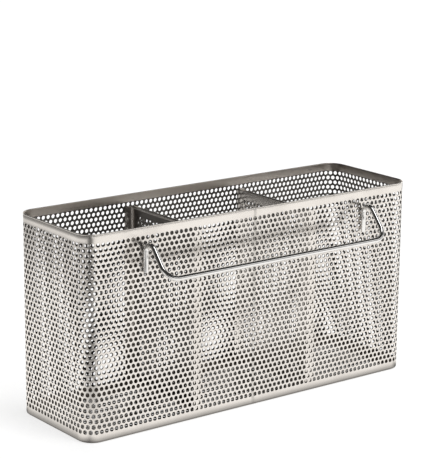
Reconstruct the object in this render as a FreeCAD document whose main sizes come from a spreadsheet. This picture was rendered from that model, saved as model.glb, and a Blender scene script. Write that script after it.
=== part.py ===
import FreeCAD, Part
import math
import os

import Sketcher

# Chopstick holder of perforated sheet steel. A wall strip is bent round four corners and
# butt-welded into a ring, with a hemmed rim and a turned-in bottom edge. A floor panel lies
# on that edge, two dividers stand on the panel between the long walls, and a bent wire hook
# is welded to the front wall to hang the holder on a rail.
# The origin is the middle of the base, +Z is up, X runs along the long walls and the hook
# stands out towards -Y. The sheets' round holes are too fine and too many for solids: a coarse
# grid of slots stands for them in the walls and the floor, and the dividers are plain.

# All lengths are in millimetres, and the angle is in degrees.
sizes = {
    "wall_length": 237.4,
    "wall_width": 71.4,
    "wall_height": 120.0,
    "corner_radius": 9.8,
    "wall_sheet": 0.6,
    "bottom_bend_inside": 1.0,
    "flange_reach": 7.0,
    "flange_opening_radius": 3.0,
    "rim_hem_height": 1.1,
    "rim_hem_outset": 0.6,
    "slots_bottom_margin": 4.25,
    "slots_top_margin": 4.5,
    "slot_upright_bar": 5.2,
    "slot_level_bar": 2.9,
    "slots_along_count": 12,
    "slots_up_count": 12,
    "slots_end_count": 3,
    "slots_floor_count": 6,
    "floor_sheet": 0.6,
    "floor_clearance": 0.2,
    "middle_length": 78.0,
    "divider_sheet": 0.6,
    "divider_drop": 6.9,
    "divider_flange": 6.0,
    "divider_bend_inside": 0.6,
    "divider_hem_height": 1.1,
    "divider_hem_outset": 0.6,
    "weld_gap": 0.05,
    "hook_wire": 3.0,
    "hook_end_margin": 38.45,
    "hook_drop": 8.1,
    "hook_leg_length": 17.9,
    "hook_bend_radius": 4.6,
    "hook_corner_radius": 8.0,
    "hook_standoff": 22.0,
    "hook_slant_angle": 40,
    "hem_round_share": 0.45,
    "match_tolerance": 0.001,
}

os.makedirs("parts", exist_ok=True)
doc = FreeCAD.newDocument("chopstick_holder")
sheet = doc.addObject("Spreadsheet::Sheet", "Sizes")
for row, (alias, value) in enumerate(sizes.items(), start=1):
    sheet.set(f"A{row}", alias)
    sheet.set(f"B{row}", str(value))
    sheet.setAlias(f"B{row}", alias)
doc.recompute()


def size(alias):
    return float(sheet.get(alias))


def vector(x=0, y=0, z=0):
    return FreeCAD.Vector(x, y, z)


# Helpers for bodies, sketches and features

def new_body(label):
    body = doc.addObject("PartDesign::Body", label)
    body.Label = label
    return body


def plane_sketch(body, name, role):
    sketch = body.newObject("Sketcher::SketchObject", name)
    plane = next(f for f in body.Origin.OriginFeatures if f.Role == role)
    sketch.AttachmentSupport = [(plane, "")]
    sketch.MapMode = "FlatFace"
    return sketch


def plan_sketch(body, name, height="0"):
    sketch = plane_sketch(body, name, "XY_Plane")
    sketch.setExpression("AttachmentOffset.Base.z", height)
    return sketch


def drive(sketch, constraint, expression):
    index = sketch.addConstraint(constraint)
    name = f"driven_{index}"
    sketch.renameConstraint(index, name)
    sketch.setExpression(f"Constraints.{name}", expression)


# Four sides and four quarter arcs, anticlockwise from the front side, centred on the origin
def rounded_rectangle(sketch, length, width, radius):
    long, wide, round_ = (float(sketch.evalExpression(e)) for e in (length, width, radius))
    x, y = long / 2, wide / 2
    cx, cy = x - round_, y - round_
    quarter = math.pi / 2
    first = sketch.GeometryCount
    corners = [(cx, -cy, -quarter), (cx, cy, 0), (-cx, cy, quarter), (-cx, -cy, 2 * quarter)]
    sides = [(-cx, -y, cx, -y), (x, -cy, x, cy), (cx, y, -cx, y), (-x, cy, -x, -cy)]
    for (x0, y0, x1, y1), (ax, ay, start) in zip(sides, corners):
        sketch.addGeometry(Part.LineSegment(vector(x0, y0), vector(x1, y1)))
        circle = Part.Circle(vector(ax, ay), vector(z=1), round_)
        sketch.addGeometry(Part.ArcOfCircle(circle, start, start + quarter))
    front, right, back, left = (first + 2 * side for side in range(4))
    arcs = [side + 1 for side in (front, right, back, left)]
    for side, arc, after in zip((front, right, back, left), arcs, (right, back, left, front)):
        sketch.addConstraint(Sketcher.Constraint("Tangent", side, 2, arc, 1))
        sketch.addConstraint(Sketcher.Constraint("Tangent", arc, 2, after, 1))
    for side in (front, back):
        sketch.addConstraint(Sketcher.Constraint("Horizontal", side))
    for side in (right, left):
        sketch.addConstraint(Sketcher.Constraint("Vertical", side))
    for arc in arcs[1:]:
        sketch.addConstraint(Sketcher.Constraint("Equal", arcs[0], arc))
    sketch.addConstraint(Sketcher.Constraint("Symmetric", arcs[3], 3, arcs[1], 3, -1, 1))
    drive(sketch, Sketcher.Constraint("DistanceX", left, 1, right, 1, long), length)
    drive(sketch, Sketcher.Constraint("DistanceY", front, 1, back, 1, wide), width)
    drive(sketch, Sketcher.Constraint("Radius", arcs[0], round_), radius)


# A rectangle from near to far along X, centred on the X axis, with near on the Y axis if None
def plain_rectangle(sketch, near, far, width):
    start = float(sketch.evalExpression(near)) if near else 0
    end, half = float(sketch.evalExpression(far)), float(sketch.evalExpression(width)) / 2
    points = [vector(start, -half), vector(end, -half), vector(end, half), vector(start, half)]
    for point, after in zip(points, points[1:] + points[:1]):
        sketch.addGeometry(Part.LineSegment(point, after))
    for side in range(4):
        sketch.addConstraint(Sketcher.Constraint("Coincident", side, 2, (side + 1) % 4, 1))
    for side in (0, 2):
        sketch.addConstraint(Sketcher.Constraint("Horizontal", side))
    sketch.addConstraint(Sketcher.Constraint("Vertical", 3))
    sketch.addConstraint(Sketcher.Constraint("Symmetric", 1, 1, 1, 2, -1))
    drive(sketch, Sketcher.Constraint("DistanceY", 1, 1, 1, 2, 2 * half), width)
    drive(sketch, Sketcher.Constraint("DistanceX", -1, 1, 1, 1, end), far)
    if near:
        drive(sketch, Sketcher.Constraint("DistanceX", -1, 1, 3, 1, start), near)
    else:
        sketch.addConstraint(Sketcher.Constraint("PointOnObject", 3, 1, -2))


# One slot with round ends, level, with its middle at the given place
def level_slot(sketch, across, up, length, height):
    x, y, long, high = (float(sketch.evalExpression(e)) for e in (across, up, length, height))
    half, round_ = (long - high) / 2, high / 2
    quarter = math.pi / 2
    sketch.addGeometry(Part.LineSegment(vector(x - half, y - round_), vector(x + half, y - round_)))
    right_end = Part.Circle(vector(x + half, y), vector(z=1), round_)
    sketch.addGeometry(Part.ArcOfCircle(right_end, -quarter, quarter))
    sketch.addGeometry(Part.LineSegment(vector(x + half, y + round_), vector(x - half, y + round_)))
    left_end = Part.Circle(vector(x - half, y), vector(z=1), round_)
    sketch.addGeometry(Part.ArcOfCircle(left_end, quarter, 3 * quarter))
    for side in range(4):
        sketch.addConstraint(Sketcher.Constraint("Tangent", side, 2, (side + 1) % 4, 1))
    sketch.addConstraint(Sketcher.Constraint("Horizontal", 0))
    drive(sketch, Sketcher.Constraint("Radius", 1, round_), f"({height}) / 2")
    drive(sketch, Sketcher.Constraint("DistanceX", 0, 1, 0, 2, 2 * half), f"({length}) - ({height})")
    drive(sketch, Sketcher.Constraint("DistanceX", -1, 1, 1, 3, x + half),
          f"({across}) + (({length}) - ({height})) / 2")
    drive(sketch, Sketcher.Constraint("DistanceY", -1, 1, 1, 3, y), up)


# A grid of slots cut through the whole body, square to the plane of its sketch. The field is a
# flat length that the columns share, and the rows share a height that starts at bottom.
def cut_slots(body, name, role, flat, columns, bottom, high, rows):
    before = body.Shape.Volume
    columns_count, rows_count = (int(round(size(alias))) for alias in (columns, rows))
    column, row = f"({flat}) / {columns_count}", f"({high}) / {rows_count}"
    sketch = plane_sketch(body, f"{name}_outline", role)
    level_slot(sketch, f"({column} - ({flat})) / 2", f"({bottom}) + {row} / 2",
               f"{column} - Sizes.slot_upright_bar", f"{row} - Sizes.slot_level_bar")
    first = body.newObject("PartDesign::Pocket", f"{name}_first")
    first.Profile = sketch
    first.Type = "ThroughAll"
    first.Midplane = True
    doc.recompute()
    grid = body.newObject("PartDesign::MultiTransform", name)
    grid.Originals = [first]
    patterns = []
    for axis, step, count in (("H_Axis", column, columns_count), ("V_Axis", row, rows_count)):
        pattern = body.newObject("PartDesign::LinearPattern", f"{name}_{axis}")
        pattern.Direction = (sketch, [axis])
        pattern.setExpression("Length", f"({step}) * {count - 1}")
        pattern.Occurrences = count
        patterns.append(pattern)
    grid.Transformations = patterns
    body.Tip = grid
    doc.recompute()
    print(body.Label, name, columns_count, "by", rows_count, "removes", round(before - body.Shape.Volume, 1))
    if not body.Shape.Volume < before:
        raise RuntimeError(f"{body.Label}: {name} removes nothing")


def pad(body, name, sketch, length):
    feature = body.newObject("PartDesign::Pad", name)
    feature.Profile = sketch
    feature.setExpression("Length", length)
    doc.recompute()
    return feature


def pocket_up(body, name, sketch, length):
    before = body.Shape.Volume
    feature = body.newObject("PartDesign::Pocket", name)
    feature.Profile = sketch
    feature.Reversed = True
    feature.setExpression("Length", length)
    doc.recompute()
    if not feature.Shape.Volume < before:
        raise RuntimeError(f"{body.Label}: {name} removes nothing")
    return feature


def fillet(body, name, edges, radius):
    base = body.Tip
    feature = body.newObject("PartDesign::Fillet", name)
    feature.Base = (base, edges)
    feature.setExpression("Radius", radius)
    doc.recompute()
    return feature


def level_edges(shape, height):
    near = size("match_tolerance")
    boxes = [edge.BoundBox for edge in shape.Edges]
    level = [abs(box.ZMin - height) < near and abs(box.ZMax - height) < near for box in boxes]
    return [f"Edge{number}" for number, flat in enumerate(level, start=1) if flat]


def upright_edges(shape, x):
    near = size("match_tolerance")
    boxes = [edge.BoundBox for edge in shape.Edges]
    upright = [box.ZLength > near and max(abs(box.XMin - x), abs(box.XMax - x)) < near for box in boxes]
    return [f"Edge{number}" for number, stands in enumerate(upright, start=1) if stands]


# The flat part of a wall between its two corners
def flat_side(which):
    return f"Sizes.wall_{which} - 2 * Sizes.corner_radius"


# Wall strip: a ring of sheet with a turned-in bottom flange and an outward hem at the rim

def make_wall_strip():
    body = new_body("wall_strip")
    outline = plan_sketch(body, "wall_outline")
    rounded_rectangle(outline, "Sizes.wall_length", "Sizes.wall_width", "Sizes.corner_radius")
    blank = pad(body, "wall_blank", outline, "Sizes.wall_height")
    bend_outside = "Sizes.bottom_bend_inside + Sizes.wall_sheet"
    fillet(body, "bottom_bend", level_edges(blank.Shape, 0), bend_outside)

    inside = ("Sizes.wall_length - 2 * Sizes.wall_sheet",
              "Sizes.wall_width - 2 * Sizes.wall_sheet",
              "Sizes.corner_radius - Sizes.wall_sheet")
    hollow = plan_sketch(body, "hollow_outline", "Sizes.wall_sheet")
    rounded_rectangle(hollow, *inside)
    cut = pocket_up(body, "hollow", hollow, "Sizes.wall_height")
    floor_edges = level_edges(cut.Shape, size("wall_sheet"))
    fillet(body, "bottom_bend_inner", floor_edges, "Sizes.bottom_bend_inside")

    opening = plan_sketch(body, "flange_opening_outline")
    rounded_rectangle(opening, "Sizes.wall_length - 2 * Sizes.flange_reach",
                      "Sizes.wall_width - 2 * Sizes.flange_reach", "Sizes.flange_opening_radius")
    pocket_up(body, "flange_opening", opening, "Sizes.wall_height")

    hem = plan_sketch(body, "rim_hem_outline", "Sizes.wall_height - Sizes.rim_hem_height")
    rounded_rectangle(hem, "Sizes.wall_length + 2 * Sizes.rim_hem_outset",
                      "Sizes.wall_width + 2 * Sizes.rim_hem_outset",
                      "Sizes.corner_radius + Sizes.rim_hem_outset")
    rounded_rectangle(hem, *inside)
    folded = pad(body, "rim_hem", hem, "Sizes.rim_hem_height")
    rim_edges = level_edges(folded.Shape, size("wall_height"))
    fillet(body, "rim_round", rim_edges, "Sizes.hem_round_share * (Sizes.wall_sheet + Sizes.rim_hem_outset)")

    rows = ("Sizes.slots_bottom_margin",
            "Sizes.wall_height - Sizes.slots_bottom_margin - Sizes.slots_top_margin", "slots_up_count")
    cut_slots(body, "long_wall_slots", "XZ_Plane", flat_side("length"), "slots_along_count", *rows)
    cut_slots(body, "end_wall_slots", "YZ_Plane", flat_side("width"), "slots_end_count", *rows)
    return body


# Floor panel: a flat plate that lies on the wall strip's bottom flange, clear of its bend

def make_floor_panel():
    body = new_body("floor_panel")
    inset = "(Sizes.wall_sheet + Sizes.bottom_bend_inside + Sizes.floor_clearance)"
    outline = plan_sketch(body, "floor_outline")
    rounded_rectangle(outline, f"Sizes.wall_length - 2 * {inset}", f"Sizes.wall_width - 2 * {inset}",
                      f"Sizes.corner_radius - {inset}")
    pad(body, "floor_plate", outline, "Sizes.floor_sheet")
    across = flat_side("width")
    cut_slots(body, "floor_slots", "XY_Plane", flat_side("length"), "slots_along_count",
              f"-({across}) / 2", across, "slots_floor_count")
    body.setExpression("Placement.Base.z", "Sizes.wall_sheet")
    return body


# Divider: a web across the holder with a flange bent along each long wall and a hemmed top.
# Its flanges point to +X; the left one is the same piece turned half round.

def make_divider(label, side):
    body = new_body(label)
    width = "(Sizes.wall_width - 2 * (Sizes.wall_sheet + Sizes.weld_gap))"
    foot = "(Sizes.wall_sheet + Sizes.floor_sheet)"
    height = f"(Sizes.wall_height - Sizes.divider_drop - {foot})"
    outline = plan_sketch(body, f"{label}_outline")
    plain_rectangle(outline, None, "Sizes.divider_flange", width)
    pad(body, f"{label}_blank", outline, height)
    channel = plan_sketch(body, f"{label}_channel_outline")
    past_the_flange = "2 * Sizes.divider_flange"
    plain_rectangle(channel, "Sizes.divider_sheet", past_the_flange, f"{width} - 2 * Sizes.divider_sheet")
    cut = pocket_up(body, f"{label}_channel", channel, height)
    inner_corners = upright_edges(cut.Shape, size("divider_sheet"))
    bent = fillet(body, f"{label}_bend_inner", inner_corners, "Sizes.divider_bend_inside")
    bend_outside = "Sizes.divider_bend_inside + Sizes.divider_sheet"
    fillet(body, f"{label}_bend", upright_edges(bent.Shape, 0), bend_outside)

    hem = plan_sketch(body, f"{label}_hem_outline", f"{height} - Sizes.divider_hem_height")
    plain_rectangle(hem, None, "Sizes.divider_sheet + Sizes.divider_hem_outset",
                    f"{width} - 2 * ({bend_outside})")
    pad(body, f"{label}_hem", hem, "Sizes.divider_hem_height")

    turn = FreeCAD.Rotation(vector(z=1), 0 if side > 0 else 180)
    body.Placement = FreeCAD.Placement(vector(), turn)
    body.setExpression("Placement.Base.x", f"{side} * Sizes.middle_length / 2")
    body.setExpression("Placement.Base.z", foot)
    return body


# Hook: one wire, up a leg on the wall, over a bend, down a slant to a bar along the front,
# and back up the other side

def hook_path():
    leg_x = size("wall_length") / 2 - size("hook_end_margin")
    leg_y = -size("wall_width") / 2 - size("weld_gap") - size("hook_wire") / 2
    top = size("wall_height") - size("hook_drop")
    bend, corner = size("hook_bend_radius"), size("hook_corner_radius")
    bend_z = top - size("hook_wire") / 2 - bend
    slant = math.radians(size("hook_slant_angle"))
    fall = vector(0, -math.sin(slant), -math.cos(slant))

    def over_the_bend(angle):
        return vector(-leg_x, leg_y - bend + bend * math.cos(angle), bend_z + bend * math.sin(angle))

    leg_end = vector(-leg_x, leg_y, top - size("hook_leg_length"))
    turned = math.pi - slant
    bend_start, bend_middle, bend_end = (over_the_bend(turned * step / 2) for step in range(3))
    bar_y = -size("wall_width") / 2 - size("hook_standoff")
    bar_end = bend_end + fall * ((bar_y - bend_end.y) / fall.y)
    centre = bar_end - fall * corner + vector(corner)
    corner_start = centre - vector(corner)
    corner_middle = centre + (fall - vector(1)) * (corner / math.sqrt(2))
    corner_end = centre + fall * corner

    left = [leg_end, bend_start, bend_middle, bend_end, corner_start, corner_middle, corner_end]
    right = [vector(-point.x, point.y, point.z) for point in left]
    edges = []
    for a, b, c, d, e, f, g in (left, right):
        edges += [Part.LineSegment(a, b), Part.Arc(b, c, d), Part.LineSegment(d, e), Part.Arc(e, f, g)]
    edges.append(Part.LineSegment(left[-1], right[-1]))
    return Part.Wire(Part.__sortEdges__([edge.toShape() for edge in edges])), leg_end


def make_hanging_hook():
    wire, leg_end = hook_path()
    path = doc.addObject("Part::Feature", "hook_path")
    path.Shape = wire
    section = doc.addObject("Part::Circle", "hook_section")
    section.setExpression("Radius", "Sizes.hook_wire / 2")
    section.Placement = FreeCAD.Placement(leg_end, FreeCAD.Rotation())
    hook = doc.addObject("Part::Sweep", "hanging_hook")
    hook.Label = "hanging_hook"
    hook.Sections = [section]
    hook.Spine = (path, [f"Edge{number}" for number in range(1, len(wire.Edges) + 1)])
    hook.Solid = True
    doc.recompute()
    section_area = math.pi * size("hook_wire") ** 2 / 4
    print("hook length", round(wire.Length, 2), "volume by length", round(section_area * wire.Length, 1),
          "volume of the solid", round(hook.Shape.Volume, 1))
    return hook


pieces = [
    make_wall_strip(),
    make_floor_panel(),
    make_divider("left_divider", -1),
    make_divider("right_divider", 1),
    make_hanging_hook(),
]
doc.recompute()

for item in doc.Objects:
    if "Invalid" in item.State or "Error" in item.State:
        raise RuntimeError(f"{item.Label} failed: {item.State}")
for piece in pieces:
    shape = piece.Shape
    if shape.isNull() or not shape.isValid() or len(shape.Solids) != 1:
        raise RuntimeError(f"{piece.Label} is not one valid solid")
    box = shape.BoundBox
    corners = [round(v, 2) for v in (box.XMin, box.XMax, box.YMin, box.YMax, box.ZMin, box.ZMax)]
    print(piece.Label, "volume", round(shape.Volume, 1), "box", corners)
for piece in pieces:
    piece.Shape.exportStep(f"parts/{piece.Label}.step")
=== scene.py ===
import math

import bpy
import numpy as np
from mathutils import Matrix, Vector


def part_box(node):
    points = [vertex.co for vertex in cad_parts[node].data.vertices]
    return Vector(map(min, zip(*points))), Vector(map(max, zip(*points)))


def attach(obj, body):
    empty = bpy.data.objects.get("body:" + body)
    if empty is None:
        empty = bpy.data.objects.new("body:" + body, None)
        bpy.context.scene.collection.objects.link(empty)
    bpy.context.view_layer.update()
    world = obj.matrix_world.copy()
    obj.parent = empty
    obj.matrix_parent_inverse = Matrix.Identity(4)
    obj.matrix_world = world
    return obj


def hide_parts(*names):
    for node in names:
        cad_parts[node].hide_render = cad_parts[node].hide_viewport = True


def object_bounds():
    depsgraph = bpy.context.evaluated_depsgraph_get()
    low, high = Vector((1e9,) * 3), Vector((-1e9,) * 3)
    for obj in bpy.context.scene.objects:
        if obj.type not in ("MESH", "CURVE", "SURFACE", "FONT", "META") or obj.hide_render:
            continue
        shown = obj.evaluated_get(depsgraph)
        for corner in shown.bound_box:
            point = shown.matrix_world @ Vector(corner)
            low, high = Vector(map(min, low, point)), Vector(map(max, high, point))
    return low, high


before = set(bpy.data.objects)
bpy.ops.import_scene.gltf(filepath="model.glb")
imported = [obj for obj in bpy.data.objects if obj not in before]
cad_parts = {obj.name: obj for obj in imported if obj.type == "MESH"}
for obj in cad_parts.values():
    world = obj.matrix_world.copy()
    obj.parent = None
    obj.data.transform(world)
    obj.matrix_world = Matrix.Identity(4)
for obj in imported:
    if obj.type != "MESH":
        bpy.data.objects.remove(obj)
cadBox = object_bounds()
mm = 0.001
tiny = 1e-6             # places closer than this, in metres, are the same
mergeDistance = 0.01 * mm
print("frame loaded with", len(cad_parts), "nodes")


# small helpers for working in edit mode from code

def only(obj):
    if bpy.context.object and bpy.context.object.mode != "OBJECT":
        bpy.ops.object.mode_set(mode="OBJECT")
    bpy.ops.object.select_all(action="DESELECT")
    obj.select_set(True)
    bpy.context.view_layer.objects.active = obj


def edit(obj, selectMode="VERT", everything=True):
    only(obj)
    bpy.ops.object.mode_set(mode="EDIT")
    bpy.ops.mesh.select_mode(type=selectMode)
    bpy.ops.mesh.select_all(action="SELECT" if everything else "DESELECT")


def leaveEdit():
    bpy.ops.object.mode_set(mode="OBJECT")


def pickEdges(obj, test):
    # test gets the two ends and the number of faces on the edge
    edit(obj, "EDGE", everything=False)
    leaveEdit()
    mesh = obj.data
    used = np.zeros(len(mesh.loops), dtype=np.int32)
    mesh.loops.foreach_get("edge_index", used)
    faceCount = np.bincount(used, minlength=len(mesh.edges))
    for e in mesh.edges:
        a, b = e.vertices
        e.select = bool(test(mesh.vertices[a].co, mesh.vertices[b].co, faceCount[e.index]))
    bpy.ops.object.mode_set(mode="EDIT")


def readPoints(obj):
    points = np.zeros(len(obj.data.vertices) * 3)
    obj.data.vertices.foreach_get("co", points)
    return points.reshape(-1, 3)


def writePoints(obj, points):
    obj.data.vertices.foreach_set("co", points.reshape(-1))
    obj.data.update()


def copyOf(obj, move=(0, 0, 0)):
    twin = obj.copy()
    twin.data = obj.data.copy()
    bpy.context.collection.objects.link(twin)
    twin.data.transform(Matrix.Translation(move))
    return twin


def joined(objects):
    bpy.ops.object.select_all(action="DESELECT")
    for obj in objects:
        obj.select_set(True)
    bpy.context.view_layer.objects.active = objects[0]
    bpy.ops.object.join()
    return objects[0]


def repeated(obj, count, step):
    only(obj)
    rowOf = obj.modifiers.new("row", "ARRAY")
    rowOf.count = count
    rowOf.use_relative_offset = False
    rowOf.use_constant_offset = True
    rowOf.constant_offset_displace = step
    bpy.ops.object.modifier_apply(modifier="row")


def merge(obj):
    edit(obj)
    bpy.ops.mesh.remove_doubles(threshold=mergeDistance)
    leaveEdit()


def faceOut(obj):
    edit(obj, "FACE")
    bpy.ops.mesh.normals_make_consistent(inside=False)
    leaveEdit()


def closeSheetEdge(obj):
    # joins the two skins of a sheet along its cut edge
    pickEdges(obj, lambda a, b, faces: faces == 1)
    bpy.ops.mesh.bridge_edge_loops()
    leaveEdit()
    faceOut(obj)


def finishPiece(obj, name, material, node, angle=32):
    obj.name = name
    obj.data.name = name
    obj.data.materials.clear()
    obj.data.materials.append(material)
    only(obj)
    bpy.ops.object.shade_smooth_by_angle(angle=math.radians(angle))
    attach(obj, "root")
    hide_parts(node)
    print(name, len(obj.data.polygons), "faces")


# shader sockets that take part in Python sums

class Signal:
    noiseRoughness = 0.55

    def __init__(self, tree, socket=None):
        self.tree = tree
        self.socket = socket

    def node(self, kind, settings=None, output=0, **inputs):
        made = self.tree.nodes.new(kind)
        for key, value in (settings or {}).items():
            setattr(made, key, value)
        for key, value in inputs.items():
            slotName = int(key[2:]) if key.startswith("in") and key[2:].isdigit() else key.replace("_", " ")
            if isinstance(value, Signal):
                self.tree.links.new(value.socket, made.inputs[slotName])
            else:
                made.inputs[slotName].default_value = value
        return Signal(self.tree, made.outputs[output])

    def beside(self, output):
        # another output of the same node
        return Signal(self.tree, self.socket.node.outputs[output])

    def maths(self, operation, first, second=0.0):
        return self.node("ShaderNodeMath", {"operation": operation}, in0=first, in1=second)

    def __add__(self, other):
        return self.maths("ADD", self, other)

    def __radd__(self, other):
        return self.maths("ADD", other, self)

    def __sub__(self, other):
        return self.maths("SUBTRACT", self, other)

    def __rsub__(self, other):
        return self.maths("SUBTRACT", other, self)

    def __mul__(self, other):
        return self.maths("MULTIPLY", self, other)

    def ramp(self, low, high, outLow=0.0, outHigh=1.0):
        return self.node("ShaderNodeMapRange", {"interpolation_type": "SMOOTHSTEP"}, Value=self,
                         From_Min=low, From_Max=high, To_Min=outLow, To_Max=outHigh)

    def blend(self, first, second):
        # this value mixes two colours
        return self.node("ShaderNodeMix", {"data_type": "RGBA"}, output=2, in0=self, in6=first, in7=second)

    def noise(self, place, scale, detail):
        return self.node("ShaderNodeTexNoise", None, Vector=place, Scale=scale, Detail=detail,
                         Roughness=self.noiseRoughness)

    def stretched(self, place, scale):
        return self.node("ShaderNodeMapping", None, Vector=place, Scale=scale)


def newMaterial(name):
    material = bpy.data.materials.new(name)
    material.use_nodes = True
    tree = material.node_tree
    shader = tree.nodes["Principled BSDF"]
    return material, Signal(tree), shader


def feed(signal, shader, socketName):
    signal.tree.links.new(signal.socket, shader.inputs[socketName])


# a noise is its scale and detail, a range is where a change starts and where it ends
grainUpright = (45, 45, 2600)
grainFlat = (45, 2600, 45)

sheetFinish = {
    "light": (0.835, 0.797, 0.752, 1),
    "dull": (0.725, 0.683, 0.638, 1),
    # the ring round each hole: burnish, and partly a painted highlight
    "burnishAndHighlight": (0.875, 0.845, 0.805, 1),
    # painted shade: the back of the punched sheet, inside the holder, is much darker, and the back of the
    # plain margins a little darker
    "innerShade": (0.18, 0.168, 0.155, 1),
    "marginInnerShade": (0.72, 0.66, 0.60, 1),
    "welded": (0.56, 0.54, 0.50, 1),
    "roughness": 0.16,
    "grainNoise": (1.0, 4.0),
    "grainDulls": 0.25,
    "grainRoughens": 0.10,
    "smudgeNoise": (38.0, 4.0),
    "smudgeRange": (0.38, 0.72),
    "smudgeDulls": 0.55,
    "smudgeRoughens": 0.05,
    "fineNoise": (900.0, 2.0),
    "fineShare": 0.4,
    "bump": 0.12,
    "bumpDepth": 0.02 * mm,
    "ringRange": (1.24 * mm, 1.46 * mm),    # out from the middle of a hole
    "ringHighlightShows": 0.6,
    "ringSmooths": 0.06,
    "seamRange": (0.5 * mm, 1.7 * mm),      # aside from the weld
    "seamBack": (-10 * mm, 0.0),            # no weld behind this
    "seamShows": 0.5,
    "seamRoughens": 0.14,
    "wander": 1.6 * mm,
    "wanderNoise": (260.0, 2.0),
    "innerShadeRange": (0.16, 0.36),             # as a share of the way through the sheet
    "innerRoughens": 0.08,
}


def makeSheetSteel(name, grainScale, pitch=None, innerShadeColour="innerShade", seamAt=None):
    look = sheetFinish
    material, s, shader = newMaterial(name)
    place = s.node("ShaderNodeTexCoord", None, output="Object")
    grain = s.noise(s.stretched(place, grainScale), *look["grainNoise"])
    smudge = s.noise(place, *look["smudgeNoise"]).ramp(*look["smudgeRange"])
    fine = s.noise(place, *look["fineNoise"])
    wear = smudge * look["smudgeDulls"] + grain * look["grainDulls"]
    colour = wear.blend(look["light"], look["dull"])
    rough = look["roughness"] + grain * look["grainRoughens"] + smudge * look["smudgeRoughens"]
    if pitch:
        # a lighter ring round each hole, partly the punch's burnish and partly a painted highlight on the
        # hole edges, on the piece's own map of columns and rows
        sheetMap = s.node("ShaderNodeUVMap", {"uv_map": "sheet"})
        column = s.node("ShaderNodeSeparateXYZ", None, Vector=sheetMap)
        upRow = column.beside("Y")
        odd = s.maths("MODULO", s.maths("FLOOR", upRow), 2.0)
        across = (s.maths("FRACT", column - odd * 0.5) - 0.5) * pitch
        along = (s.maths("FRACT", upRow) - 0.5) * hole["row"]
        out = s.maths("SQRT", across * across + along * along)
        ring = 1.0 - out.ramp(*look["ringRange"])
        colour = (ring * look["ringHighlightShows"]).blend(colour, look["burnishAndHighlight"])
        rough = rough - ring * look["ringSmooths"]
    if seamAt is not None:
        # dull, slightly wandering line where the ends of the strip are welded
        sideways = s.node("ShaderNodeSeparateXYZ", None, Vector=place)
        onFront = 1.0 - sideways.beside("Y").ramp(*look["seamBack"])
        wander = (s.noise(place, *look["wanderNoise"]) - 0.5) * look["wander"]
        off = s.maths("ABSOLUTE", sideways - seamAt + wander)
        seam = (1.0 - off.ramp(*look["seamRange"])) * onFront
        colour = (seam * look["seamShows"]).blend(colour, look["welded"])
        rough = rough + seam * look["seamRoughens"]
    # painted shade: the back face of the sheet, inside the holder, takes a dark copy of the steel colour,
    # and is also a little rougher
    through = s.node("ShaderNodeAttribute", {"attribute_name": "inside"}, output="Fac")
    innerShade = through.ramp(*look["innerShadeRange"])
    colour = innerShade.blend(colour, look[innerShadeColour])
    rough = rough + innerShade * look["innerRoughens"]
    feed(colour, shader, "Base Color")
    feed(rough, shader, "Roughness")
    bump = s.node("ShaderNodeBump", None, Strength=look["bump"], Distance=look["bumpDepth"],
                  Height=grain + fine * look["fineShare"])
    feed(bump, shader, "Normal")
    shader.inputs["Metallic"].default_value = 1.0
    return material


wireFinish = {
    "light": (0.84, 0.83, 0.815, 1),
    "dull": (0.74, 0.725, 0.70, 1),
    "roughness": 0.045,
    "rubNoise": (160.0, 5.0),
    "rubRange": (0.40, 0.75),
    "rubDulls": 0.6,
    "rubRoughens": 0.05,
    "fineNoise": (2200.0, 2.0),
    "fineRoughens": 0.02,
    "bump": 0.06,
    "bumpDepth": 0.02 * mm,
}


def makeWireSteel(name):
    look = wireFinish
    material, s, shader = newMaterial(name)
    place = s.node("ShaderNodeTexCoord", None, output="Object")
    rub = s.noise(place, *look["rubNoise"]).ramp(*look["rubRange"])
    fine = s.noise(place, *look["fineNoise"])
    feed((rub * look["rubDulls"]).blend(look["light"], look["dull"]), shader, "Base Color")
    feed(look["roughness"] + rub * look["rubRoughens"] + fine * look["fineRoughens"], shader, "Roughness")
    bump = s.node("ShaderNodeBump", None, Strength=look["bump"], Distance=look["bumpDepth"], Height=fine)
    feed(bump, shader, "Normal")
    shader.inputs["Metallic"].default_value = 1.0
    return material


# the punched sheet: one hole in its cell, with both skins, copied into rows

hole = {
    "radius": 1.2 * mm,
    "sides": 12,
    "sheet": 0.6 * mm,
    "rollWidth": 0.13 * mm,    # the punch rolls the edge of the hole in a little
    "rollDepth": 0.09 * mm,
    "row": 3.06 * mm,
}
# where the corners of a hole's cell lie, as shares of pitch and row, one for each side of the hole
cellEdge = [(0.5, 0), (0.5, 0.5), (0.25, 0.5), (0, 0.5), (-0.25, 0.5), (-0.5, 0.5),
            (-0.5, 0), (-0.5, -0.5), (-0.25, -0.5), (0, -0.5), (0.25, -0.5), (0.5, -0.5)]


def placeOnCell(obj, pitch):
    # the ring that was just drawn out goes to the edge of the cell
    leaveEdit()
    for v in obj.data.vertices:
        if v.select:
            k = round(math.atan2(v.co.z, v.co.x) / (2 * math.pi / hole["sides"])) % hole["sides"]
            v.co.x = cellEdge[k][0] * pitch
            v.co.z = cellEdge[k][1] * hole["row"]


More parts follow.
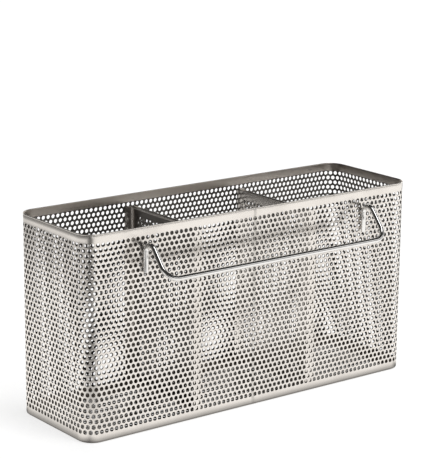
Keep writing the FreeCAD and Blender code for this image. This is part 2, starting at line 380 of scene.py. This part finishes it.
def makeHoleCell(pitch):
    bpy.ops.object.select_all(action="DESELECT")
    bpy.ops.mesh.primitive_circle_add(vertices=hole["sides"], radius=hole["radius"], fill_type="NOTHING",
                                      location=(0, hole["rollDepth"], 0), rotation=(math.pi / 2, 0, 0))
    cell = bpy.context.object
    bpy.ops.object.transform_apply(location=True, rotation=True, scale=True)
    wide = 1 + hole["rollWidth"] / hole["radius"]
    edit(cell, "EDGE")
    bpy.ops.mesh.extrude_edges_move(TRANSFORM_OT_translate={"value": (0, -hole["rollDepth"], 0)})
    bpy.ops.transform.resize(value=(wide, 1, wide), center_override=(0, 0, 0))
    bpy.ops.mesh.extrude_edges_move()
    placeOnCell(cell, pitch)
    # back through the hole and out over the inner skin
    pickEdges(cell, lambda a, b, faces: faces == 1 and a.y > hole["rollDepth"] / 2)
    straight = hole["sheet"] - hole["rollDepth"]
    bpy.ops.mesh.extrude_edges_move(TRANSFORM_OT_translate={"value": (0, straight, 0)})
    bpy.ops.mesh.extrude_edges_move()
    placeOnCell(cell, pitch)
    return cell


def mapSheet(obj, pitch, left, bottom):
    # columns and rows as a UV map, while the sheet is still flat
    points = readPoints(obj)
    corners = np.zeros(len(obj.data.loops), dtype=np.int32)
    obj.data.loops.foreach_get("vertex_index", corners)
    flat = np.column_stack(((points[:, 0] - left) / pitch, (points[:, 2] - bottom) / hole["row"]))
    layer = obj.data.uv_layers.new(name="sheet")
    layer.data.foreach_set("uv", flat[corners].reshape(-1))
    markInside(obj, points[:, 1] / hole["sheet"])


def markInside(obj, share):
    # 0 on the punched face of the sheet, 1 on its back
    mark = obj.data.attributes.new("inside", "FLOAT", "POINT")
    mark.data.foreach_set("value", np.clip(share, 0, 1).astype(np.float32))


# the wall: a strip of punched sheet bent round four corners, welded shut on the hook side

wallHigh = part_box("wall_strip")[1]
wall = {
    "hemOut": 0.6 * mm,
    "corner": 9.8 * mm,
    "columns": 183,
    "rows": 36,
    "fieldBottom": 4.95 * mm,
    "weldAt": -2.2 * mm,       # where the ends of the strip meet, along X
    "weldGap": 0.35 * mm,
    "weldBead": 0.20 * mm,
    "weldWidth": 0.9 * mm,
    "stepsPerColumn": 4,       # how finely the plain margins follow the corners
    "liftMean": 0.3 * mm,      # the rows stand this much high on average, and swing by this much
    "liftSwing": 0.6 * mm,
    "liftPeak": 0.81,          # how far round from the weld they stand highest, as a share of the strip
}
wall["halfLength"] = wallHigh.x - wall["hemOut"]
wall["halfWidth"] = wallHigh.y - wall["hemOut"]
wall["fieldTop"] = wall["fieldBottom"] + wall["rows"] * hole["row"]


def wallRuns():
    # straight runs and corners in order, from the weld towards +X
    r = wall["corner"]
    a, b = wall["halfLength"] - r, wall["halfWidth"] - r
    q = math.pi / 2 * r
    hw, hl = wall["halfWidth"], wall["halfLength"]
    return [
        ("run", (wall["weldAt"], -hw), (1, 0), a - wall["weldAt"]),
        ("bend", (a, -b), -math.pi / 2, q),
        ("run", (hl, -b), (0, 1), 2 * b),
        ("bend", (a, b), 0.0, q),
        ("run", (a, hw), (-1, 0), 2 * a),
        ("bend", (-a, b), math.pi / 2, q),
        ("run", (-hl, b), (0, -1), 2 * b),
        ("bend", (-a, -b), math.pi, q),
        ("run", (-a, -hw), (1, 0), a + wall["weldAt"]),
    ]


runs = wallRuns()
wall["round"] = sum(run[3] for run in runs)
wall["pitch"] = (wall["round"] - wall["weldGap"]) / wall["columns"]


def sideOf(x):
    return np.where(np.abs(x) < tiny, 0.0, np.sign(x))


def bendRound(obj):
    # x runs along the strip, y is the depth behind its outer face
    points = readPoints(obj)
    gap, end = wall["weldGap"], wall["columns"] * wall["pitch"]
    x = points[:, 0]
    travel = x + gap / 2 * sideOf(x) + gap / 2 * (1 + sideOf(x - end))
    travel = np.where(travel > wall["round"] + tiny, travel - wall["round"], travel)
    travel = np.clip(travel, 0.0, wall["round"])
    depth = points[:, 1]
    start = 0.0
    slack = 1e-9
    for kind, at, way, length in runs:
        inside = (travel >= start - slack) & (travel <= start + length + slack)
        t = travel[inside] - start
        d = depth[inside]
        if kind == "run":
            points[inside, 0] = at[0] + way[0] * t - way[1] * d
            points[inside, 1] = at[1] + way[1] * t + way[0] * d
        else:
            turn = way + t / wall["corner"]
            points[inside, 0] = at[0] + (wall["corner"] - d) * np.cos(turn)
            points[inside, 1] = at[1] + (wall["corner"] - d) * np.sin(turn)
        # a point that has been placed is out of reach of the next runs
        travel = np.where(inside, -1.0, travel)
        start += length
    writePoints(obj, points)


def leanRows(obj):
    # the punched rows are not quite level: they rise towards the front left corner, but not at the margins
    points = readPoints(obj)
    along = points[:, 0] / (wall["columns"] * wall["pitch"])
    up = (points[:, 2] - wall["fieldBottom"]) / (wall["fieldTop"] - wall["fieldBottom"])
    hold = np.sin(math.pi * np.clip(up, 0.0, 1.0))
    lift = wall["liftMean"] + wall["liftSwing"] * np.cos(2 * math.pi * (along - wall["liftPeak"]))
    points[:, 2] += hold * lift
    writePoints(obj, points)


wallSteel = makeSheetSteel("wall_sheet_steel", grainUpright, wall["pitch"], seamAt=wall["weldAt"])
marginSteel = makeSheetSteel("plain_margin_steel", grainUpright, innerShadeColour="marginInnerShade",
                             seamAt=wall["weldAt"])

# two rows, half a pitch apart, are the repeat of the pattern
wallCell = makeHoleCell(wall["pitch"])
wallPair = joined([wallCell, copyOf(wallCell, (wall["pitch"] / 2, 0, hole["row"]))])
wallPair.data.transform(Matrix.Translation((wall["pitch"] / 2, 0, wall["fieldBottom"] + hole["row"] / 2)))

# each panel with its number of columns, in order from the weld towards +X
wallPanels = [("wall_front_right", 34), ("wall_right_end", 25), ("wall_back_right", 33),
              ("wall_back_left", 33), ("wall_left_end", 26), ("wall_front_left", 32)]
column = 0
for panelName, columns in wallPanels:
    panel = copyOf(wallPair, (column * wall["pitch"], 0, 0))
    repeated(panel, columns, (wall["pitch"], 0, 0))
    repeated(panel, wall["rows"] // 2, (0, 0, 2 * hole["row"]))
    merge(panel)
    closeSheetEdge(panel)
    mapSheet(panel, wall["pitch"], 0.0, wall["fieldBottom"])
    leanRows(panel)
    bendRound(panel)
    finishPiece(panel, panelName, wallSteel, "wall_strip")
    column += columns
bpy.data.objects.remove(wallPair)
print("wall panels done,", wall["columns"], "columns at", round(wall["pitch"] / mm, 3), "mm")

# plain margins of the strip: the hemmed rim and the turned-in base, each one ring
# profile points are depth behind the outer face and height, in mm
top = wallHigh.z / mm
fieldLow, fieldHigh = wall["fieldBottom"] / mm, wall["fieldTop"] / mm
rimProfile = [
    (0, fieldHigh), (-0.03, top - 4.0), (-0.07, top - 3.4), (-0.10, top - 2.9), (-0.11, top - 2.4),
    (-0.10, top - 1.9), (-0.06, top - 1.4), (-0.02, top - 1.0), (0.02, top - 0.76), (-0.10, top - 0.70),
    (-0.20, top - 0.54), (-0.20, top - 0.34), (-0.10, top - 0.12), (0.08, top), (0.34, top - 0.05),
    (0.53, top - 0.22), (0.60, top - 0.5), (0.60, fieldHigh),
]
baseBend = 1.6
baseBendInside = 1.0


def quarterTurn(radius, fromAngle, toAngle, count):
    turn = np.linspace(fromAngle, toAngle, count)
    return [(baseBend - radius * math.cos(t), baseBend - radius * math.sin(t)) for t in turn]


baseProfile = [(0, fieldLow)]
baseProfile += quarterTurn(baseBend, 0, math.pi / 2, 6)
baseProfile += [(6.9, 0), (7.0, 0.1), (7.0, 0.5), (6.9, 0.6)]
baseProfile += quarterTurn(baseBendInside, math.pi / 2, 0, 5)
baseProfile += [(0.6, fieldLow)]


def makeMargin(name, profile):
    bpy.ops.object.select_all(action="DESELECT")
    around = wall["columns"] * wall["stepsPerColumn"]
    bpy.ops.mesh.primitive_grid_add(x_subdivisions=around, y_subdivisions=len(profile), size=2)
    ring = bpy.context.object
    points = readPoints(ring)
    step = np.rint((points[:, 0] + 1) / 2 * around)
    turn = np.rint((points[:, 1] + 1) / 2 * len(profile)).astype(int) % len(profile)
    along = step * wall["pitch"] / wall["stepsPerColumn"]
    depth = np.array([p[0] for p in profile])[turn] * mm
    height = np.array([p[1] for p in profile])[turn] * mm
    behind = depth / hole["sheet"]
    # the weld leaves a low bead across the outer face
    fromWeld = np.minimum(along, wall["columns"] * wall["pitch"] - along)
    bead = wall["weldBead"] * np.exp(-(fromWeld / wall["weldWidth"]) ** 2)
    depth = np.where(depth < hole["sheet"] / 2, depth - bead, depth)
    writePoints(ring, np.column_stack((along, depth, height)))
    markInside(ring, behind)
    bendRound(ring)
    merge(ring)
    faceOut(ring)
    finishPiece(ring, name, marginSteel, "wall_strip", angle=50)


makeMargin("rim_margin", rimProfile)
makeMargin("base_margin", baseProfile)
print("plain margins done")


# punched panels with a plain border: the floor and the dividers

def makeField(columns, rows, pitch):
    # the rows between are a hole shorter and have a plain half cell at each end
    row = hole["row"]
    cell = makeHoleCell(pitch)
    between = copyOf(cell, (pitch, 0, row))
    cell.data.transform(Matrix.Translation((pitch / 2, 0, 0)))
    bpy.ops.object.select_all(action="DESELECT")
    bpy.ops.mesh.primitive_grid_add(x_subdivisions=2, y_subdivisions=2, size=1,
                                    rotation=(math.pi / 2, 0, 0))
    plain = bpy.context.object
    bpy.ops.object.transform_apply(location=True, rotation=True, scale=True)
    plain.data.transform(Matrix.Diagonal((pitch / 2, 1, row, 1)))
    plain = joined([plain, copyOf(plain, (0, hole["sheet"], 0))])
    plain.data.transform(Matrix.Translation((pitch / 4, 0, row)))
    plain = joined([plain, copyOf(plain, (columns * pitch - pitch / 2, 0, 0))])
    repeated(cell, columns, (pitch, 0, 0))
    repeated(cell, (rows + 1) // 2, (0, 0, 2 * row))
    repeated(between, columns - 1, (pitch, 0, 0))
    repeated(between, rows // 2, (0, 0, 2 * row))
    repeated(plain, rows // 2, (0, 0, 2 * row))
    field = joined([cell, between, plain])
    merge(field)
    field.data.transform(Matrix.Translation((-columns * pitch / 2, 0, row / 2)))
    mapSheet(field, pitch, -columns * pitch / 2, 0.0)
    return field


def addBorder(field, low, high, corner=0.0, cornerSteps=8):
    # a plain border of sheet from the field out to the given rectangle
    bpy.ops.object.select_all(action="DESELECT")
    bpy.ops.mesh.primitive_plane_add(size=1, rotation=(math.pi / 2, 0, 0))
    edgeOf = bpy.context.object
    bpy.ops.object.transform_apply(location=True, rotation=True, scale=True)
    edgeOf.data.transform(Matrix.Diagonal((high[0] - low[0], 1, high[1] - low[1], 1)))
    edgeOf.data.transform(Matrix.Translation(((low[0] + high[0]) / 2, 0, (low[1] + high[1]) / 2)))
    edit(edgeOf)
    if corner:
        bpy.ops.mesh.bevel(offset=corner, segments=cornerSteps, affect="VERTICES")
    bpy.ops.mesh.select_all(action="SELECT")
    bpy.ops.mesh.delete(type="ONLY_FACE")
    leaveEdit()
    panel = joined([field, edgeOf, copyOf(edgeOf, (0, hole["sheet"], 0))])
    for skin in (0.0, hole["sheet"]):
        pickEdges(panel, lambda a, b, faces: faces < 2 and abs(a.y - skin) < tiny
                  and abs(b.y - skin) < tiny)
        bpy.ops.mesh.fill(use_beauty=True)
        leaveEdit()
    return panel


floorLow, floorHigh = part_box("floor_panel")
floorPlate = {"columns": 67, "rows": 18, "pitch": 3.287 * mm, "corner": 8.0 * mm}

floorSteel = makeSheetSteel("floor_sheet_steel", grainFlat, floorPlate["pitch"])
field = makeField(floorPlate["columns"], floorPlate["rows"], floorPlate["pitch"])
field.data.transform(Matrix.Translation((0, 0, -floorPlate["rows"] * hole["row"] / 2)))
plate = addBorder(field, (floorLow.x, floorLow.y), (floorHigh.x, floorHigh.y), floorPlate["corner"])
closeSheetEdge(plate)
# laid flat, with the punched face up
plate.data.transform(Matrix.Rotation(-math.pi / 2, 4, "X"))
plate.data.transform(Matrix.Translation((0, 0, floorHigh.z)))
finishPiece(plate, "floor_plate", floorSteel, "floor_panel")
print("floor plate done")


dividerLow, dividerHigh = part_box("right_divider")
divider = {
    "columns": 18,
    "rows": 32,
    "pitch": 3.287 * mm,
    "topMargin": 5.6 * mm,
    "bendInside": 0.6 * mm,
    "hemInside": 0.1 * mm,
    "hemLength": 1.0 * mm,
    "hemSteps": 8,
    "bendSteps": 6,
    "longEdge": 20 * mm,       # only the side edges are longer than this
}


def makeDivider(material):
    sheet = hole["sheet"]
    outer = divider["bendInside"] + sheet
    half = dividerHigh.y - outer           # the web is flat between its two bends
    foldRadius = divider["hemInside"] + sheet
    webTop = dividerHigh.z - foldRadius
    field = makeField(divider["columns"], divider["rows"], divider["pitch"])
    fieldTop = dividerHigh.z - divider["topMargin"]
    field.data.transform(Matrix.Translation((0, 0, fieldTop - divider["rows"] * hole["row"])))
    panel = addBorder(field, (-half, dividerLow.z), (half, webTop))
    # fold the top edge over into a hem
    pickEdges(panel, lambda a, b, faces: faces == 1 and min(a.z, b.z) > webTop - tiny)
    bpy.ops.mesh.spin(steps=divider["hemSteps"], angle=math.pi, center=(0, foldRadius, webTop),
                      axis=(1, 0, 0))
    bpy.ops.mesh.extrude_edges_move(TRANSFORM_OT_translate={"value": (0, 0, -divider["hemLength"])})
    leaveEdit()
    # turn the two side edges back as weld flanges
    reach = dividerHigh.x - dividerLow.x - outer
    for side in (-1, 1):
        pickEdges(panel, lambda a, b, faces: faces == 1 and min(a.x * side, b.x * side) > half - tiny
                  and abs(a.z - b.z) > divider["longEdge"])
        bpy.ops.mesh.spin(steps=divider["bendSteps"], angle=math.pi / 2, center=(side * half, outer, 0),
                          axis=(0, 0, -side))
        bpy.ops.mesh.extrude_edges_move(TRANSFORM_OT_translate={"value": (0, reach, 0)})
        leaveEdit()
    merge(panel)
    closeSheetEdge(panel)
    panel.data.transform(Matrix.Rotation(-math.pi / 2, 4, "Z"))
    panel.data.transform(Matrix.Translation((dividerLow.x, 0, 0)))
    finishPiece(panel, "divider_right", material, "right_divider")
    return panel


dividerSteel = makeSheetSteel("divider_sheet_steel", grainUpright, divider["pitch"])
rightDivider = makeDivider(dividerSteel)
leftDivider = copyOf(rightDivider)
leftDivider.data.transform(Matrix.Rotation(math.pi, 4, "Z"))
finishPiece(leftDivider, "divider_left", dividerSteel, "left_divider")
print("dividers done")


# the hanging hook: one wire, bent over at the top of each leg and round two corners into a bar

hookLow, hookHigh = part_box("hanging_hook")
hook = {
    "wire": 3.0 * mm,
    "sides": 24,
    "legX": 80.25 * mm,
    "legBottom": 94.0 * mm,
    "bend": 4.6 * mm,
    "corner": 8.0 * mm,
    "slant": math.radians(40),
    "endBreak": 0.3 * mm,
    "bendSteps": 18,
    "cornerSteps": 14,
    "breakSteps": 2,
    "joinDistance": 0.02 * mm,
}


def makeHook(material):
    half = hook["wire"] / 2
    legY = hookHigh.y - half
    bendZ = hookHigh.z - half - hook["bend"]
    bendY = legY - hook["bend"]
    barY, barZ = hookLow.y + half, hookLow.z + half
    turn = math.pi - hook["slant"]
    slantY = bendY + hook["bend"] * math.cos(turn)
    slantZ = bendZ + hook["bend"] * math.sin(turn)
    way = Vector((0, barY - slantY, barZ - slantZ))
    length = way.length - hook["corner"]
    way.normalize()
    cornerY, cornerZ = slantY + way.y * length, slantZ + way.z * length
    bpy.ops.object.select_all(action="DESELECT")
    bpy.ops.mesh.primitive_circle_add(vertices=hook["sides"], radius=half, fill_type="NOTHING",
                                      location=(hook["legX"], legY, hook["legBottom"]))
    wire = bpy.context.object
    bpy.ops.object.transform_apply(location=True, rotation=True, scale=True)
    edit(wire, "EDGE")
    bpy.ops.mesh.extrude_edges_move(TRANSFORM_OT_translate={"value": (0, 0, bendZ - hook["legBottom"])})
    bpy.ops.mesh.spin(steps=hook["bendSteps"], angle=turn, center=(hook["legX"], bendY, bendZ),
                      axis=(-1, 0, 0))
    bpy.ops.mesh.extrude_edges_move(TRANSFORM_OT_translate={"value": way * length})
    cornerX = hook["legX"] - hook["corner"]
    turnAxis = Vector((-1, 0, 0)).cross(way)
    bpy.ops.mesh.spin(steps=hook["cornerSteps"], angle=math.pi / 2, center=(cornerX, cornerY, cornerZ),
                      axis=turnAxis)
    bpy.ops.mesh.extrude_edges_move(TRANSFORM_OT_translate={"value": (-cornerX, 0, 0)})
    leaveEdit()
    # cut end of the leg, with its edge broken
    pickEdges(wire, lambda a, b, faces: faces == 1 and min(a.x, b.x) > hook["corner"])
    bpy.ops.mesh.edge_face_add()
    bpy.ops.mesh.bevel(offset=hook["endBreak"], segments=hook["breakSteps"], affect="EDGES")
    leaveEdit()
    only(wire)
    twin = wire.modifiers.new("twin", "MIRROR")
    twin.use_axis = (True, False, False)
    twin.merge_threshold = hook["joinDistance"]
    bpy.ops.object.modifier_apply(modifier="twin")
    merge(wire)
    faceOut(wire)
    finishPiece(wire, "hook_wire_loop", material, "hanging_hook", angle=40)


makeHook(makeWireSteel("polished_wire"))
print("hook done")


# floor, light and camera; ways and ranges on the floor are in metres from the holder's middle

studio = {
    "floor": (0.80, 0.80, 0.80, 1),
    "floorSide": 8,
    "floorRough": 0.9,
    "floorShine": 0.1,
    "white": (1, 1, 1, 1),
    "warmWhite": (1, 0.99, 0.975, 1),
    "floorGlow": 0.86,              # what the camera sees on top of the lit floor, so that it is white
    "contactShade": 0.10,           # painted contact shade: how much less the floor glows right beside the holder
    "contactRange": (-0.01, 0.035),
    "farGlow": 0.12,                # and how much more far off, so that the horizon does not show
    "farRange": (0.1, 0.7),
    "floorFar": 0.30,               # the floor's painted glow as the steel sees it: far off, close by, and a painted shadow under the holder
    "floorNear": 1.12,
    "floorUnderShadow": 0.10,
    "nearRange": (0.36, 0.62),
    "underRange": (-0.004, 0.012),
    "rightWay": (0.79, -0.61, 0),   # to the camera's right, and towards it
    "rightRange": (-0.05, 0.30),
    "frontWay": (-0.61, -0.79, 0),
    "wedgeAside": 0.07,             # a dim wedge in front of the near corner
    "wedgeWidth": (0.04, 0.15),
    "wedgeRange": (0.10, 0.26),
    "wedgeDims": 0.8,
    "sideWay": (0.93, 0.37, 0),     # a dim strip far to the right, which shades the right-hand corner
    "sideAcross": (-0.37, 0.93, 0),
    "sideWidth": (0.05, 0.20),
    "sideRange": (0.20, 0.40),
    "sideDims": 0.7,
    "sky": 0.04,
    "backdrop": 0.9,                # a bright band behind the holder, from the floor up
    "backWay": (0.61, 0.79, 0),
    "backRange": (0.5, 0.8),
    "backTop": (0.28, 0.42),
}


def distanceAlong(s, place, way):
    return s.node("ShaderNodeVectorMath", {"operation": "DOT_PRODUCT"}, output="Value", in0=place, in1=way)


def makeFloor():
    bpy.ops.object.select_all(action="DESELECT")
    bpy.ops.mesh.primitive_plane_add(size=studio["floorSide"])
    ground = bpy.context.object
    ground.name = "studio_floor"
    material, s, shader = newMaterial("pale_floor")
    shader.inputs["Base Color"].default_value = studio["floor"]
    shader.inputs["Roughness"].default_value = studio["floorRough"]
    shader.inputs["Specular IOR Level"].default_value = studio["floorShine"]
    seen = s.node("ShaderNodeLightPath", None, output="Is Camera Ray")
    mirrored = s.node("ShaderNodeLightPath", None, output="Is Glossy Ray")
    place = s.node("ShaderNodeTexCoord", None, output="Object")
    out = s.node("ShaderNodeVectorMath", {"operation": "LENGTH"}, output="Value", in0=place)
    toRight = distanceAlong(s, place, studio["rightWay"])
    toFront = distanceAlong(s, place, studio["frontWay"])
    # bright close to the holder and to the front right, but for the wedge and the strip
    near = 1.0 - out.ramp(*studio["nearRange"])
    bright = s.maths("MAXIMUM", near, toRight.ramp(*studio["rightRange"]))
    aside = s.maths("ABSOLUTE", toRight + studio["wedgeAside"])
    wedge = (1.0 - aside.ramp(*studio["wedgeWidth"])) * toFront.ramp(*studio["wedgeRange"])
    toSide = distanceAlong(s, place, studio["sideWay"])
    offSide = s.maths("ABSOLUTE", distanceAlong(s, place, studio["sideAcross"]))
    strip = (1.0 - offSide.ramp(*studio["sideWidth"])) * toSide.ramp(*studio["sideRange"])
    # painted shade of the holder on the floor: less glow beside it for the camera, and a painted shadow
    # under it for the steel
    spot = s.node("ShaderNodeSeparateXYZ", None, Vector=place)
    pastEnd = s.maths("ABSOLUTE", spot) - cadBox[1].x
    pastSide = s.maths("ABSOLUTE", spot.beside("Y")) - wall["halfWidth"]
    past = s.maths("MAXIMUM", pastEnd, pastSide)
    # painted shadow under the holder, on the floor as the steel sees it
    clear = past.ramp(*studio["underRange"], studio["floorUnderShadow"], 1.0)
    level = studio["floorFar"] + bright * (studio["floorNear"] - studio["floorFar"])
    level = level * (1.0 - wedge * studio["wedgeDims"]) * (1.0 - strip * studio["sideDims"]) * clear
    # painted contact shade: beside the holder the camera sees the floor glow a little less
    beside = studio["floorGlow"] - studio["contactShade"]
    glowHere = past.ramp(*studio["contactRange"], beside, studio["floorGlow"])
    glowHere = glowHere + past.ramp(*studio["farRange"], 0.0, studio["farGlow"])
    glow = s.node("ShaderNodeEmission", None, Color=studio["white"], Strength=seen * glowHere)
    lit = s.node("ShaderNodeAddShader", None, in0=Signal(s.tree, shader.outputs[0]), in1=glow)
    mirror = s.node("ShaderNodeEmission", None, Color=studio["warmWhite"], Strength=level)
    shown = s.node("ShaderNodeMixShader", None, in0=mirrored, in1=lit, in2=mirror)
    feed(shown, s.tree.nodes["Material Output"], "Surface")
    ground.data.materials.append(material)


def makeWorld():
    world = bpy.data.worlds.new("studio")
    bpy.context.scene.world = world
    world.use_nodes = True
    s = Signal(world.node_tree)
    seen = s.node("ShaderNodeLightPath", None, output="Is Camera Ray")
    way = s.node("ShaderNodeTexCoord", None, output="Generated")
    behind = distanceAlong(s, way, studio["backWay"]).ramp(*studio["backRange"])
    low = 1.0 - distanceAlong(s, way, (0, 0, 1)).ramp(*studio["backTop"])
    level = studio["sky"] + behind * low * studio["backdrop"]
    sky = s.node("ShaderNodeBackground", None, Color=studio["warmWhite"], Strength=level)
    white = s.node("ShaderNodeBackground", None, Color=studio["white"], Strength=1.0)
    shown = s.node("ShaderNodeMixShader", None, in0=seen, in1=sky, in2=white)
    feed(shown, world.node_tree.nodes["World Output"], "Surface")


def makeLamp(name, place, aim, size, power):
    data = bpy.data.lights.new(name, "AREA")
    data.shape = "RECTANGLE"
    data.size, data.size_y = size
    data.energy = power
    lamp = bpy.data.objects.new(name, data)
    bpy.context.collection.objects.link(lamp)
    lamp.location = place
    lamp.rotation_euler = (Vector(aim) - Vector(place)).to_track_quat("-Z", "Y").to_euler()


photoView = {
    "yaw": math.radians(37.397),
    "pitch": math.radians(14.08),
    "roll": math.radians(0.527),
    "place": (-0.6298, -0.8186, 0.3583),
    "focalPixels": 1792.1,
    "longSidePixels": 459,
    "sensor": 36,
}


def makeCamera():
    yaw, pitch, roll = photoView["yaw"], photoView["pitch"], photoView["roll"]
    ahead = Vector((math.sin(yaw) * math.cos(pitch), math.cos(yaw) * math.cos(pitch), -math.sin(pitch)))
    right = Vector((math.cos(yaw), -math.sin(yaw), 0))
    up = right.cross(ahead)
    tiltedRight = right * math.cos(roll) + up * math.sin(roll)
    tiltedUp = up * math.cos(roll) - right * math.sin(roll)
    data = bpy.data.cameras.new("photo_view")
    data.lens = photoView["focalPixels"] * photoView["sensor"] / photoView["longSidePixels"]
    camera = bpy.data.objects.new("photo_view", data)
    bpy.context.collection.objects.link(camera)
    turned = Matrix((tiltedRight, tiltedUp, -ahead)).transposed().to_4x4()
    camera.matrix_world = Matrix.Translation(photoView["place"]) @ turned
    bpy.context.scene.camera = camera


makeFloor()
makeWorld()
makeLamp("overhead_softbox", place=(0.03, -0.40, 0.95), aim=(0, 0, 0.06), size=(0.34, 0.5), power=1.8)
makeLamp("front_softbox", place=(0.55, -0.70, 0.50), aim=(0, 0, 0.08), size=(0.9, 0.3), power=0.9)
makeLamp("side_softbox", place=(1.0, 0.05, 0.42), aim=(0, 0, 0.08), size=(0.4, 0.6), power=0.9)
makeCamera()
bpy.context.scene.view_settings.view_transform = "Standard"
print("floor, light and camera done")
